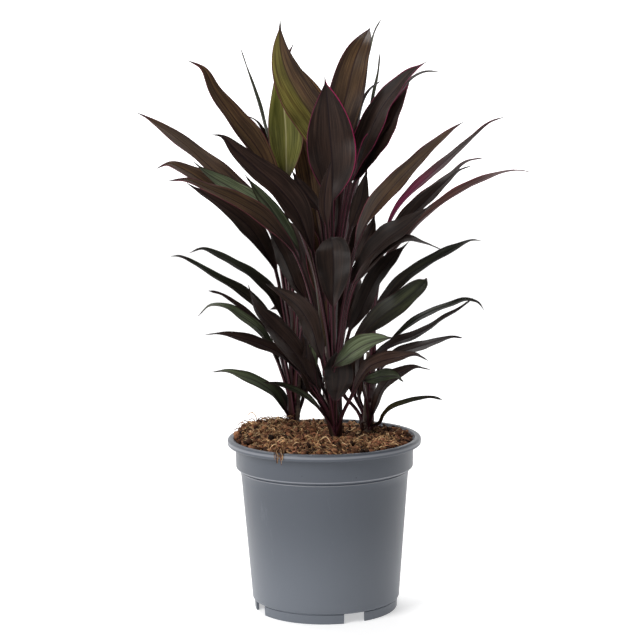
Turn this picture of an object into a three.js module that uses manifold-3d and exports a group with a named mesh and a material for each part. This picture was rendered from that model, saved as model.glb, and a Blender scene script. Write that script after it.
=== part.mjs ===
// Potted ti plant: a nursery pot filled with potting soil, and four leafy stems standing in it.
// Millimetres, +Z up. The origin is the middle of the pot's underside, on the surface it stands on.
import * as THREE from "three";
import Module from "manifold-3d";
import { mergeVertices } from "three/addons/utils/BufferGeometryUtils.js";

const wasm = await Module();
wasm.setup();

// The pot
const POT_HEIGHT = 170;
const RIM_RADIUS = 95;
const RIM_DROP = 6.5;
const RIM_LIP = 3.4;
const RIM_ROUND = 3.2;
const RIM_ROLL = 6.4;
const RIM_FLARE = 4;
const EDGE = 0.6;
const WALL = 2;
const COLLAR_RADIUS = 87;
const COLLAR_FOOT = 141;
const BODY_TOP_RADIUS = 82.6;
const BODY_FOOT_RADIUS = 72.6;
const BODY_FOOT = 14;
const FOOT_RING_RADIUS = 70.8;
const FOOT_RING_HEIGHT = 9.5;
const FOOT_RING_WALL = 3;
const POT_SIDES = 40;
const NOTCHES = 4;
const NOTCH_WIDTH = 22;
const FIRST_NOTCH_DEG = -67;
const DRAIN_RADIUS = 6;
const DRAIN_SIDES = 12;
const DRAIN_RING_RADIUS = 46;

// The soil
const SOIL_LEVEL = 166;
const SOIL_MOUND = 7;
const MOUND_X = -45;
const MOUND_Y = 20;
const MOUND_SPREAD = 38;
const SOIL_CRUMB = 2.6;
const SOIL_RINGS = 8;
const SOIL_SECTORS = 32;
const SEAT_GAP = 0.3;

// The canes: where each stands, how far it leans by its top, and how high it grows
const CANE_FOOT = 100;
const CANE_RADIUS = 4.8;
const CANE_TIP_RADIUS = 3.2;
const CANE_SIDES = 8;
const CANE_STEPS = 4;
const CANES = {
  left: { x: -29, y: 38, lean: [5, 2], top: 252 },
  front: { x: 11, y: -8, lean: [-1, 4], top: 245 },
  right: { x: 43, y: 25, lean: [3, 2], top: 250 },
  back: { x: 5, y: 62, lean: [1, -6], top: 290 },
};

// The blades
const BLADE_THICKNESS = 0.9;
const PETIOLE_THICKNESS = 2.4;
const PETIOLE_WIDTH = 4.6;
const WITHERED_FROM = 0.93;
const WITHERED_WIDTH = 2.8;
const TIP_WIDTH = 1.1;
const THREAD = 0.04;
const WIDEST_AT = 0.45;
const BASE_SWELL = 0.85;
const PETIOLE_FOLD_DEG = 50;
const NECK_FOLD_DEG = 34;
const BLADE_FOLD_DEG = 15;
const FLARE = 5;
const OPENING = 3;
const WAVE_HEIGHT = 0.055;
const WAVES = 1.8;
const HEEL_ACROSS = 0.36;
const HEEL_UP = 0.48;
const PETIOLE_STEPS = 2;
const BLADE_STEPS = 7;

// The front view is drawn from this eye. A point's place across and up is where it shows on the
// upright plane through the pot's axis, and its depth is how far behind that plane it lies.
const EYE = new THREE.Vector3(-3, -1900, 542);

// Each leaf: its name, its cane, the height of its foot, the depth of its tip, how far its middle
// swings back, its width, how far its upper face is turned from the viewer at neck and tip in
// degrees, and the middle of its blade from neck to tip. Each point there is its place across and
// up, and where it needs one, how much further back it lies.
const LEAVES = [
  ["a", "left", 238, 130, 0, 31, 60, 58, [[-49, 388], [-92, 425], [-132, 460], [-164, 481], [-177, 488]]],
  ["b", "left", 242, 40, -10, 28, 46, 40,
    [[-37, 402], [-57, 449], [-83, 484], [-101, 509], [-112, 529], [-127, 537]]],
  ["d", "left", 222, 60, 0, 32, 50, 50,
    [[-50, 372], [-79, 398], [-107, 419], [-130, 433], [-147, 439], [-159, 434]]],
  ["f", "left", 198, 0, 0, 31, 50, 52,
    [[-45, 333], [-52, 352], [-59, 365], [-69, 379], [-93, 398], [-115, 411], [-130, 420]]],
  ["e2", "left", 196, -20, 0, 28, 50, 52, [[-18, 305], [-26, 324], [-35, 346], [-46, 366], [-53, 385]]],
  ["g", "left", 226, 30, 0, 22, 50, 46, [[-40, 385], [-65, 404], [-92, 419], [-111, 430], [-124, 441]]],
  ["h", "left", 236, -5, 0, 19, 42, 42, [[-22, 350], [-37, 377], [-50, 397], [-62, 411], [-74, 427]]],
  ["k", "left", 188, 20, 0, 20, 62, 66,
    [[-35, 276], [-40, 293], [-47, 310], [-58, 322], [-72, 334], [-95, 348], [-116, 356], [-129, 352]]],
  ["l", "left", 182, -20, 0, 17, 60, 66,
    [[-42, 266], [-50, 285], [-62, 301], [-78, 314], [-102, 329], [-124, 343], [-138, 349], [-147, 349]]],
  ["m", "left", 180, 50, 0, 7, 60, 30, [[-48, 268], [-66, 287], [-84, 302], [-99, 312], [-111, 315]]],
  ["n", "left", 178, 30, 0, 16.5, 62, 66,
    [[-42, 238], [-50, 260], [-62, 278], [-78, 290], [-95, 300], [-110, 301], [-122, 290]]],
  ["p", "left", 172, 30, 0, 17, 56, 60,
    [[-35, 192], [-42, 205], [-50, 216], [-65, 226], [-81, 232], [-95, 236], [-110, 235]]],
  ["p2", "left", 172, 60, 0, 13, 50, 50,
    [[-29, 190], [-36, 202], [-41, 212], [-47, 218], [-53, 222], [-60, 224]]],
  ["y1", "left", 172, 40, 0, 18, 30, 30, [[-21, 206], [-19, 220], [-16, 236], [-13, 254], [-10, 267]]],
  ["c", "front", 218, -20, 0, 34, 40, 40,
    [[-9, 350], [-18, 385], [-38, 414], [-61, 434], [-81, 451], [-95, 464], [-106, 466]]],
  ["e", "front", 192, -80, 0, 24, 52, 60,
    [[-25, 348], [-52, 384], [-80, 402], [-108, 415], [-129, 423], [-148, 422]]],
  ["r", "front", 180, -130, 0, 25, 45, 40,
    [[-1, 244], [-5, 263], [-12, 283], [-24, 300], [-41, 313], [-55, 321]]],
  ["l2", "front", 178, -90, 0, 33, 55, 60,
    [[-7, 218], [-15, 236], [-24, 252], [-35, 266], [-50, 281], [-64, 298], [-72, 320]]],
  ["o", "front", 178, -70, 0, 17, 58, 62,
    [[-22, 232], [-38, 251], [-60, 263], [-84, 270], [-103, 273], [-115, 272]]],
  ["q", "front", 174, -60, 0, 9, 58, 50,
    [[-2, 195], [-13, 207], [-24, 215], [-35, 220], [-47, 223], [-59, 224]]],
  ["C", "front", 235, 5, 0, 49, 0, 5, [[10, 400], [11, 430], [9, 462], [7, 492], [4, 520]]],
  ["C2", "front", 230, -15, 0, 14, 20, 20, [[5, 375], [3, 395], [5, 418], [9, 439]]],
  ["M", "front", 190, -35, -25, 35, 0, 0, [[10, 296], [10, 311], [11, 333], [10, 355], [8, 367, 12]]],
  ["N", "front", 174, -45, -20, 29, 0, 0, [[11, 204], [13, 216], [15, 231], [14, 244], [12, 254]]],
  ["s", "front", 185, -30, 0, 13, 20, 20, [[-8, 233], [-11, 245], [-12, 256], [-11, 268]]],
  ["y2", "front", 176, -45, 0, 18, 20, 20, [[-4, 204], [-9, 218], [-14, 234], [-16, 251], [-17, 268]]],
  ["T", "front", 182, -100, 0, 26, 46, 50, [[10, 238], [23, 251], [38, 261], [52, 265], [68, 267]]],
  ["x3", "front", 228, 15, 0, 18, 30, 30, [[33, 338], [41, 362], [48, 376], [51, 388]]],
  ["K1", "front", 222, -70, 0, 30, 55, 55,
    [[27, 320], [42, 347], [60, 365], [77, 376], [93, 387], [108, 397]]],
  ["K2", "front", 212, -85, 0, 21, 62, 84,
    [[30, 318], [46, 341], [64, 356], [83, 364], [100, 360], [117, 352]]],
  ["K3", "front", 198, -40, 0, 27, 46, 50, [[25, 272], [37, 299], [50, 325], [64, 342], [84, 361]]],
  ["O", "front", 190, -60, 0, 25, 40, 35,
    [[28, 260], [42, 277], [58, 291], [74, 302], [88, 312, -8], [98, 320, -24], [101, 325, -44]]],
  ["G", "front", 232, 0, 0, 28, 57, 57,
    [[31, 353], [40, 380], [60, 408], [84, 433], [108, 454], [126, 469], [137, 476]]],
  ["H", "right", 238, 80, 0, 15.5, 62, 60,
    [[61, 367], [66, 384], [74, 397], [85, 409], [114, 435], [146, 462], [162, 475], [176, 480]]],
  ["I1", "right", 225, 50, 0, 20, 66, 70,
    [[54, 353], [76, 384], [101, 407], [123, 425], [140, 438], [157, 441]]],
  ["I2", "right", 218, 25, 0, 22, 58, 60,
    [[52, 345], [75, 377], [101, 403], [119, 419], [132, 429], [146, 434]]],
  ["J", "right", 208, -125, 28, 18, 68, 76,
    [[55, 333], [72, 359], [95, 384], [122, 404], [150, 419], [176, 428], [192, 429], [205, 426]]],
  ["P", "right", 200, 0, 0, 20, 60, 64,
    [[50, 292], [65, 313], [83, 330], [107, 344], [128, 355], [144, 362], [154, 361]]],
  ["Q1", "right", 190, 50, 0, 12, 62, 66,
    [[63, 260], [76, 274], [93, 287], [110, 295], [126, 300], [139, 304], [151, 301], [157, 293]]],
  ["Q2", "right", 186, 5, 0, 15, 58, 76,
    [[42, 239], [55, 254], [70, 263], [86, 269], [102, 277], [116, 286], [131, 294], [146, 305]]],
  ["R", "right", 180, 60, 0, 16, 60, 62,
    [[53, 233], [70, 251], [90, 258], [108, 263], [126, 267], [136, 266]]],
  ["S", "front", 174, -144, 0, 19, 56, 62,
    [[28, 212], [34, 228], [44, 240], [59, 246], [75, 249], [90, 250], [102, 244]]],
  ["U", "right", 172, -60, 0, 18, 58, 62,
    [[46, 188], [49, 201], [53, 212], [61, 224], [75, 233], [89, 238], [104, 235]]],
  ["V", "right", 178, -90, 0, 16, 46, 50, [[39, 224], [50, 228], [61, 230], [71, 229], [78, 223]]],
  ["W", "right", 171, -20, 0, 6, 40, 40,
    [[54, 183], [58, 191], [66, 199], [80, 204], [94, 207], [106, 208], [116, 205]]],
  ["y3", "right", 172, 60, 0, 12, 30, 30, [[19, 212], [15, 231], [13, 250], [13, 270]]],
  ["y4", "right", 176, 50, 0, 15, 40, 40, [[31, 208], [27, 226], [27, 243], [30, 260]]],
  ["y5", "right", 178, 60, 0, 14, 40, 40, [[35, 206], [35, 227], [36, 247], [38, 267]]],
  ["A", "back", 272, 30, 0, 40, -15, 5,
    [[8, 420], [5, 450], [-7, 480], [-20, 500], [-32, 523], [-38, 546], [-38, 575]]],
  ["B", "back", 252, 55, 0, 36, 0, 0,
    [[-33, 420], [-34, 441], [-34, 467], [-36, 494], [-40, 516], [-44, 531]]],
  ["B2", "back", 270, 75, 0, 24, 20, 30,
    [[12, 425], [5, 470], [-7, 501], [-20, 521], [-32, 535], [-26, 551]]],
  ["i", "back", 265, 95, 0, 9, 70, 70, [[-42, 430], [-50, 462], [-58, 493], [-67, 521], [-76, 548]]],
  ["j", "back", 260, 85, 0, 12, 60, 60, [[-36, 415], [-47, 450], [-55, 468], [-62, 479], [-71, 484]]],
  ["x1", "back", 262, 45, 0, 15, 10, 20, [[-2, 390], [-13, 406], [-22, 418], [-28, 430]]],
  ["x2", "back", 238, 30, 0, 17, 20, 20, [[27, 372], [36, 397], [40, 413], [44, 431]]],
  ["D", "back", 276, 40, 0, 36, 0, 10,
    [[14, 430], [17, 470], [25, 505], [33, 536], [40, 552, 8], [45, 561, 24], [48, 566, 40]]],
  ["E1", "back", 268, 95, 0, 8, 60, 60, [[30, 470], [39, 512], [46, 543], [52, 563], [59, 575]]],
  ["E2", "back", 262, 85, 0, 7, 60, 60, [[39, 440], [46, 480], [51, 505], [55, 525], [57, 543]]],
  ["E3", "back", 255, 75, 0, 8, 60, 60, [[30, 450], [35, 479], [40, 496], [47, 508], [58, 516]]],
  ["F1", "back", 246, 45, 0, 34, 48, 50,
    [[26, 415], [41, 459], [56, 491], [72, 510], [86, 524], [102, 534]]],
  ["F2", "back", 242, 40, 0, 29, 44, 46,
    [[31, 417], [39, 434], [50, 454], [67, 480], [79, 501], [85, 515]]],
  ["F3", "back", 244, 55, 0, 17, 62, 70,
    [[36, 430], [55, 475], [72, 502], [88, 519], [100, 524], [114, 524]]],
];

// Leaves on the far side, set round the back cane by the golden angle, the lowest first. The arc
// gives each point's share of the reach and of the rise.
const FAR_LEAVES = 14;
const FAR_FEET = [185, 285];
const FAR_REACH = [79, 60];
const FAR_RISE = [96, 205];
const FAR_ARC = [[0, 0], [0.1, 0.26], [0.28, 0.55], [0.6, 0.9], [0.86, 1.03], [1.05, 1]];
const FAR_SIZES = [0.8, 1.12];
const FAR_SPREAD_DEG = 46;
const FAR_TURN_DEG = 25;
const FAR_NECK = 0.34;
const FAR_WIDTH = 30;

const degrees = Math.PI / 180;
const mix = (a, b, t) => a + (b - a) * t;
const ease = (t) => t * t * (3 - 2 * t);
const goldenShare = (n) => (n * 0.61803398875) % 1;
const add = (point, ...parts) => {
  const sum = point.clone();
  for (const [vector, scale] of parts) {
    sum.addScaledVector(vector, scale);
  }
  return sum;
};

// A three.js geometry as a solid, and a solid as a geometry
function solidOf(geometry) {
  const bare = geometry.clone();
  bare.deleteAttribute("normal");
  bare.deleteAttribute("uv");
  const merged = mergeVertices(bare, 1e-4);
  const corners = Array.from(merged.index.array);
  const kept = [];
  for (let k = 0; k < corners.length; k += 3) {
    const [a, b, c] = corners.slice(k, k + 3);
    if (a !== b && b !== c && c !== a) {
      kept.push(a, b, c);
    }
  }
  return new wasm.Manifold(new wasm.Mesh({
    numProp: 3,
    vertProperties: new Float32Array(merged.attributes.position.array),
    triVerts: new Uint32Array(kept),
  }));
}

function geometryOf(solid) {
  const mesh = solid.getMesh();
  const geometry = new THREE.BufferGeometry();
  geometry.setAttribute("position", new THREE.BufferAttribute(new Float32Array(mesh.vertProperties), 3));
  geometry.setIndex(new THREE.BufferAttribute(new Uint32Array(mesh.triVerts), 1));
  geometry.computeVertexNormals();
  return geometry;
}

// A closed solid through loops of points. Each loop goes across the top and back along the
// underside, and the two faces are split into triangles alike.
function loft(loops) {
  const count = loops[0].length;
  const half = count / 2;
  const positions = loops.flat().flatMap((p) => [p.x, p.y, p.z]);
  const index = [];
  for (let j = 0; j + 1 < loops.length; j += 1) {
    for (let i = 0; i < count; i += 1) {
      const next = (i + 1) % count;
      const a = j * count + i;
      const b = j * count + next;
      const c = b + count;
      const d = a + count;
      if (i < half - 1) {
        index.push(a, b, c, a, c, d);
      } else {
        index.push(a, b, d, b, c, d);
      }
    }
  }
  const last = (loops.length - 1) * count;
  for (let i = 0; i < half - 1; i += 1) {
    const [a, b, c, d] = [i, i + 1, count - 2 - i, count - 1 - i];
    index.push(a, c, b, a, d, c);
    index.push(last + a, last + b, last + c, last + a, last + c, last + d);
  }
  const geometry = new THREE.BufferGeometry();
  geometry.setAttribute("position", new THREE.Float32BufferAttribute(positions, 3));
  geometry.setIndex(index);
  return geometry;
}

function upright(profile, sides) {
  const points = profile.map(([radius, height]) => new THREE.Vector2(radius, height));
  return new THREE.LatheGeometry(points, sides).rotateX(Math.PI / 2);
}

function pot() {
  const wallAt = (z) => mix(BODY_FOOT_RADIUS, BODY_TOP_RADIUS, (z - BODY_FOOT) / (COLLAR_FOOT - BODY_FOOT));
  const ringInside = FOOT_RING_RADIUS - FOOT_RING_WALL;
  const floor = FOOT_RING_HEIGHT + WALL;
  const underRim = POT_HEIGHT - RIM_DROP;
  const arc = RIM_ROUND * (1 - Math.SQRT1_2);
  const profile = [
    [0, FOOT_RING_HEIGHT],
    [ringInside, FOOT_RING_HEIGHT],
    [ringInside, 0],
    [FOOT_RING_RADIUS - EDGE, 0],
    [FOOT_RING_RADIUS, FOOT_RING_HEIGHT],
    [BODY_FOOT_RADIUS - EDGE, FOOT_RING_HEIGHT + EDGE],
    [BODY_FOOT_RADIUS, BODY_FOOT],
    [BODY_TOP_RADIUS, COLLAR_FOOT - 2 * EDGE],
    [COLLAR_RADIUS - EDGE, COLLAR_FOOT],
    [COLLAR_RADIUS, COLLAR_FOOT + 2 * EDGE],
    [COLLAR_RADIUS + EDGE, POT_HEIGHT - RIM_LIP],
    [RIM_RADIUS - RIM_LIP, POT_HEIGHT - RIM_LIP],
    [RIM_RADIUS - RIM_LIP + EDGE, underRim],
    [RIM_RADIUS - EDGE, underRim],
    [RIM_RADIUS, POT_HEIGHT - RIM_ROUND],
    [RIM_RADIUS - arc, POT_HEIGHT - arc],
    [RIM_RADIUS - RIM_ROUND, POT_HEIGHT],
    [RIM_RADIUS - RIM_ROLL + EDGE, POT_HEIGHT],
    [RIM_RADIUS - RIM_ROLL, POT_HEIGHT - EDGE],
    [COLLAR_RADIUS - WALL, POT_HEIGHT - RIM_FLARE - EDGE],
    [COLLAR_RADIUS - WALL, COLLAR_FOOT + WALL],
    [BODY_TOP_RADIUS - WALL, COLLAR_FOOT],
    [wallAt(floor + WALL) - WALL, floor + WALL],
    [wallAt(floor) - 2 * WALL, floor],
    [0, floor],
  ];
  let body = solidOf(upright(profile, POT_SIDES));
  for (let k = 0; k < NOTCHES; k += 1) {
    const angle = (FIRST_NOTCH_DEG + (k * 360) / NOTCHES) * degrees;
    const notch = new THREE.BoxGeometry(4 * FOOT_RING_WALL, NOTCH_WIDTH, 2 * FOOT_RING_HEIGHT);
    notch.translate(FOOT_RING_RADIUS, 0, 0);
    notch.rotateZ(angle);
    body = body.subtract(solidOf(notch));
    const drain = new THREE.CylinderGeometry(DRAIN_RADIUS, DRAIN_RADIUS, 6 * WALL, DRAIN_SIDES);
    drain.rotateX(Math.PI / 2);
    drain.translate(DRAIN_RING_RADIUS, 0, FOOT_RING_HEIGHT);
    drain.rotateZ(angle);
    body = body.subtract(solidOf(drain));
  }
  return geometryOf(body);
}

// The lie of the soil: level at the wall, mounded over the left stem, with crumbs all over
function soilHeight(x, y, n) {
  const mound = Math.exp(-((x - MOUND_X) ** 2 + (y - MOUND_Y) ** 2) / (2 * MOUND_SPREAD ** 2));
  const crumb = goldenShare(n * n + 3 * n) - 0.5;
  return SOIL_LEVEL + SOIL_MOUND * mound + 2 * SOIL_CRUMB * crumb;
}

function soil() {
  const lower = BODY_FOOT_RADIUS - WALL - SEAT_GAP;
  const bottom = FOOT_RING_HEIGHT + WALL + SEAT_GAP;
  const waist = BODY_TOP_RADIUS - WALL - 2.5 * SEAT_GAP;
  const edge = COLLAR_RADIUS - WALL - 2 * SEAT_GAP;
  const rings = [
    [lower - 2 * WALL, () => bottom],
    [lower - EDGE, () => bottom + 2 * WALL],
    [waist, () => COLLAR_FOOT - WALL],
    [waist, () => COLLAR_FOOT + EDGE],
    [edge, () => COLLAR_FOOT + 2 * WALL],
  ];
  for (let k = 0; k < SOIL_RINGS; k += 1) {
    rings.push([edge * (1 - k / SOIL_RINGS), (x, y, n) => soilHeight(x, y, n)]);
  }
  const positions = [0, 0, bottom];
  let n = 0;
  for (const [radius, height] of rings) {
    for (let i = 0; i < SOIL_SECTORS; i += 1) {
      n += 1;
      const angle = (i / SOIL_SECTORS) * 2 * Math.PI;
      const x = radius * Math.cos(angle);
      const y = radius * Math.sin(angle);
      positions.push(x, y, height(x, y, n));
    }
  }
  positions.push(0, 0, SOIL_LEVEL);
  const top = positions.length / 3 - 1;
  const index = [];
  for (let i = 0; i < SOIL_SECTORS; i += 1) {
    const next = (i + 1) % SOIL_SECTORS;
    index.push(0, 1 + next, 1 + i);
    for (let j = 0; j + 1 < rings.length; j += 1) {
      const a = 1 + j * SOIL_SECTORS + i;
      const b = 1 + j * SOIL_SECTORS + next;
      index.push(a, b, b + SOIL_SECTORS, a, b + SOIL_SECTORS, a + SOIL_SECTORS);
    }
    index.push(top - SOIL_SECTORS + i, top - SOIL_SECTORS + next, top);
  }
  const geometry = new THREE.BufferGeometry();
  geometry.setAttribute("position", new THREE.Float32BufferAttribute(positions, 3));
  geometry.setIndex(index);
  let filling = solidOf(geometry);
  for (const cane of Object.values(CANES)) {
    const radius = CANE_RADIUS + SEAT_GAP;
    const depth = 2 * (POT_HEIGHT - CANE_FOOT);
    const hole = new THREE.CylinderGeometry(radius, radius, depth, 2 * CANE_SIDES);
    hole.rotateX(Math.PI / 2);
    hole.translate(cane.x, cane.y, CANE_FOOT - SEAT_GAP + depth / 2);
    filling = filling.subtract(solidOf(hole));
  }
  return geometryOf(filling);
}

// The middle of a cane at a height: upright in the soil, then leaning as it grows
function caneAt(cane, z) {
  const grown = Math.max(0, (z - POT_HEIGHT - SOIL_MOUND) / (cane.top - POT_HEIGHT));
  const [leanX, leanY] = cane.lean;
  return new THREE.Vector3(cane.x + leanX * grown, cane.y + leanY * grown, z);
}

function caneSolid(cane) {
  const heights = [CANE_FOOT, POT_HEIGHT + SOIL_MOUND];
  for (let k = 1; k <= CANE_STEPS; k += 1) {
    heights.push(mix(POT_HEIGHT + SOIL_MOUND, cane.top, k / CANE_STEPS));
  }
  const loops = heights.map((z) => {
    const share = Math.max(0, (z - POT_HEIGHT) / (cane.top - POT_HEIGHT));
    const radius = mix(CANE_RADIUS, CANE_TIP_RADIUS, share);
    const centre = caneAt(cane, z);
    return Array.from({ length: CANE_SIDES }, (_, i) => {
      const angle = (i / CANE_SIDES) * 2 * Math.PI;
      return add(centre, [new THREE.Vector3(Math.cos(angle), Math.sin(angle), 0), radius]);
    });
  });
  return solidOf(loft(loops));
}

// Between the front view and real space
const shownAt = (point) => {
  const scale = EYE.y / (EYE.y - point.y);
  return [EYE.x + (point.x - EYE.x) * scale, EYE.z + (point.z - EYE.z) * scale];
};
const placed = ([across, up], depth) => {
  const scale = 1 - depth / EYE.y;
  return new THREE.Vector3(EYE.x + (across - EYE.x) * scale, depth, EYE.z + (up - EYE.z) * scale);
};

const spanOf = (points) => points.slice(1).reduce((sum, p, k) => sum + p.distanceTo(points[k]), 0);

// The midrib of a listed leaf, from its foot in the cane to its tip, and its neck's share of it
function midribOf(cane, foot, depth, swing, shown) {
  const start = caneAt(cane, foot);
  const [startAcross, startUp] = shownAt(start);
  const [neckAcross, neckUp] = shown[0];
  const heel = [mix(startAcross, neckAcross, HEEL_ACROSS), mix(startUp, neckUp, HEEL_UP)];
  const route = [[startAcross, startUp], heel, ...shown];
  const lengths = [0];
  for (let k = 1; k < route.length; k += 1) {
    const step = Math.hypot(route[k][0] - route[k - 1][0], route[k][1] - route[k - 1][1]);
    lengths.push(lengths[k - 1] + step);
  }
  const total = lengths[lengths.length - 1];
  const points = route.map(([across, up, further = 0], k) => {
    const t = lengths[k] / total;
    return placed([across, up], mix(start.y, depth, t) + swing * 4 * t * (1 - t) + further);
  });
  return { points, neck: spanOf(points.slice(0, 3)) / spanOf(points) };
}

// The midrib of a leaf on the far side
function farMidrib(n) {
  const share = n / FAR_LEAVES;
  const foot = caneAt(CANES.back, mix(...FAR_FEET, share));
  const heading = (goldenShare(n) * 2 - 1) * FAR_SPREAD_DEG * degrees;
  const out = new THREE.Vector3(Math.sin(heading), Math.cos(heading), 0);
  const up = new THREE.Vector3(0, 0, 1);
  const size = mix(...FAR_SIZES, goldenShare(2 * n + 1));
  const reach = size * mix(...FAR_REACH, share);
  const rise = size * mix(...FAR_RISE, share);
  const points = FAR_ARC.map(([away, high]) => add(foot, [out, reach * away], [up, rise * high]));
  return { points, neck: FAR_NECK };
}

// How wide the blade is at a share of its length, as a share of its greatest width. It ends in a
// thread.
function lance(share) {
  const v = Math.min(1, share / (1 - THREAD));
  const taper = (BASE_SWELL * (1 - WIDEST_AT)) / WIDEST_AT;
  return (v / WIDEST_AT) ** BASE_SWELL * ((1 - v) / (1 - WIDEST_AT)) ** taper;
}

// One leaf: a channelled petiole that widens into a folded blade with waved margins
function leafSolid({ points, neck }, width, turnNeck, turnTip, n) {
  const curve = new THREE.CatmullRomCurve3(points, false, "centripetal");
  const viewer = new THREE.Vector3(0, -1, 0);
  const inward = points[points.length - 1].x > points[0].x ? -1 : 1;
  const loops = [];
  const shares = [];
  for (let k = 0; k < PETIOLE_STEPS; k += 1) {
    shares.push((k / PETIOLE_STEPS) * neck);
  }
  for (let k = 0; k <= BLADE_STEPS; k += 1) {
    shares.push(mix(neck, 1, (1 - Math.cos((Math.PI * k) / BLADE_STEPS)) / 2));
  }
  for (const s of shares) {
    const v = Math.max(0, (s - neck) / (1 - neck));
    const centre = curve.getPointAt(s);
    const along = curve.getTangentAt(s);
    const facing = add(viewer, [along, -viewer.dot(along)]).normalize();
    const across = new THREE.Vector3().crossVectors(along, facing).multiplyScalar(inward);
    const turn = (s < neck ? mix(90, turnNeck, ease(s / neck)) : mix(turnNeck, turnTip, v)) * degrees;
    const normal = add(facing.multiplyScalar(Math.cos(turn)), [across, Math.sin(turn)]);
    const side = new THREE.Vector3().crossVectors(along, normal);
    const flared = ease(Math.min(1, v * FLARE));
    const tip = mix(WITHERED_WIDTH, TIP_WIDTH, ease(Math.max(0, v - WITHERED_FROM) / (1 - WITHERED_FROM)));
    const half = Math.max(v < 0.5 ? PETIOLE_WIDTH : tip, width * lance(v)) / 2;
    const open = mix(NECK_FOLD_DEG, BLADE_FOLD_DEG, ease(Math.min(1, v * OPENING)));
    const fold = (v > 0 ? open : mix(PETIOLE_FOLD_DEG, NECK_FOLD_DEG, s / neck)) * degrees;
    const thick = mix(PETIOLE_THICKNESS, BLADE_THICKNESS, flared) / 2;
    const margin = (sign) => {
      const wave = WAVE_HEIGHT * width * Math.sin(Math.PI * v) ** 0.5;
      const phase = 2 * Math.PI * (WAVES * v + goldenShare(3 * n + sign));
      return add(centre, [side, sign * half * Math.cos(fold)], [normal, wave * Math.sin(phase)]);
    };
    const midrib = add(centre, [normal, -half * Math.sin(fold)]);
    const ridge = [margin(-1), midrib, margin(1)];
    const top = ridge.map((p) => add(p, [normal, thick]));
    const under = ridge.map((p) => add(p, [normal, -thick])).reverse();
    loops.push([...top, ...under]);
  }
  return solidOf(loft(loops));
}

// One leafy stem: the cane with its leaves grown from it
function leafyStem(caneName) {
  const cane = CANES[caneName];
  let stem = caneSolid(cane);
  LEAVES.forEach(([, grownFrom, foot, depth, swing, width, turnNeck, turnTip, shown], n) => {
    if (grownFrom === caneName) {
      stem = stem.add(leafSolid(midribOf(cane, foot, depth, swing, shown), width, turnNeck, turnTip, n));
    }
  });
  if (caneName === "back") {
    for (let n = 0; n < FAR_LEAVES; n += 1) {
      const turn = (goldenShare(5 * n + 1) * 2 - 1) * FAR_TURN_DEG;
      stem = stem.add(leafSolid(farMidrib(n), FAR_WIDTH, turn, turn / 2, LEAVES.length + n));
    }
  }
  return geometryOf(stem);
}

const POT_PLASTIC = { color: 0x6b707a, roughness: 0.55, metalness: 0 };
const POTTING_SOIL = { color: 0x5b3f2c, roughness: 0.95, metalness: 0 };
const DARK_LEAF = { color: 0x43353a, roughness: 0.42, metalness: 0 };

const plant = new THREE.Group();

function piece(name, geometry, finish) {
  const mesh = new THREE.Mesh(geometry, new THREE.MeshStandardMaterial(finish));
  mesh.name = name;
  plant.add(mesh);
}

piece("pot", pot(), POT_PLASTIC);
piece("soil", soil(), POTTING_SOIL);
for (const caneName of Object.keys(CANES)) {
  piece(`stem_${caneName}`, leafyStem(caneName), DARK_LEAF);
}

export default plant;
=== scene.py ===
"""A potted ti plant: four leafy stems in potting soil, in a blue-grey nursery pot.

Lengths in the tables are millimetres, +Z up, and MM turns them into Blender's metres.
"""

import math
import random

import bpy
import numpy as np
from mathutils import Euler, Matrix, Vector, noise


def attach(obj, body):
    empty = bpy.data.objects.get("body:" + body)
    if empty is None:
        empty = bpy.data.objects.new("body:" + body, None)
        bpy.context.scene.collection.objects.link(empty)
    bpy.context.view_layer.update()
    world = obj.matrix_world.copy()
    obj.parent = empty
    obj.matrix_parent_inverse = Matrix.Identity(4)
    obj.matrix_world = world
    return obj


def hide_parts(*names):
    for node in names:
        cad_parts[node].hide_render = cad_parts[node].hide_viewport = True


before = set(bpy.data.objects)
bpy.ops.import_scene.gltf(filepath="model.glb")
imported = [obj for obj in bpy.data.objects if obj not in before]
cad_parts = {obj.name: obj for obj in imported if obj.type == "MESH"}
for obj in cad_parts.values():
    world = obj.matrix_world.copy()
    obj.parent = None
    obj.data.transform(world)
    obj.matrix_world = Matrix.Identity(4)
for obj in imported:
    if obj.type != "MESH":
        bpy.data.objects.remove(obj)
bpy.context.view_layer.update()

MM = 0.001
TURN = 2 * math.pi

# The picture: the eye, how far the view is pitched down and rolled, and its focal length in pixels
EYE = np.array([-3.0, -1900.0, 542.0])
PITCH_DEG = 7.7
ROLL_DEG = -0.615
FOCAL_PX = 1969
PICTURE_PX = 640
SENSOR_MM = 36

# The studio, in metres
AIM_HEIGHT = 0.28
WORLD_GLOW = 0.3
STAGE_SIDES = 96
STAGE_REACH = 5
FLOOR_GLOW = 0.55
BACKDROP_SHARE = 0.98
BACKDROP_ARC_DEG = (25, 155)
BACKDROP_HEIGHTS = (-0.01, 2.2)
BACKDROP_GLOW = 1.2
WARM = (1, 0.9, 0.82)

# The pot
POT_HEIGHT = 170
RIM_RADIUS = 95
RIM_DROP = 6.5
RIM_LIP = 2.2
RIM_ROUND = 2.6
RIM_ROLL = 6.4
RIM_FLARE = 4
RIM_INNER_ROUND = 1.2
RIDGE = ((0, 4.4), (0.5, 3.7), (0.6, 3.2), (0.5, 2.8), (0, 2.1))
WALL = 2
EDGE = 0.6
COLLAR_RADIUS = 87
COLLAR_FOOT = 141
COLLAR_ROUND = 2.2
BODY_TOP_RADIUS = 82.6
BODY_FOOT_RADIUS = 72.6
BODY_FOOT = 14
FOOT_RING_RADIUS = 70.8
FOOT_RING_HEIGHT = 9.5
FOOT_RING_WALL = 3
POT_SIDES = 192
NOTCHES = 4
NOTCH_WIDTH = 22
FIRST_NOTCH_DEG = -67
DRAIN_RADIUS = 6
DRAIN_RING_RADIUS = 46
DRAIN_SIDES = 32
SHARP_DEG = 38
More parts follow.
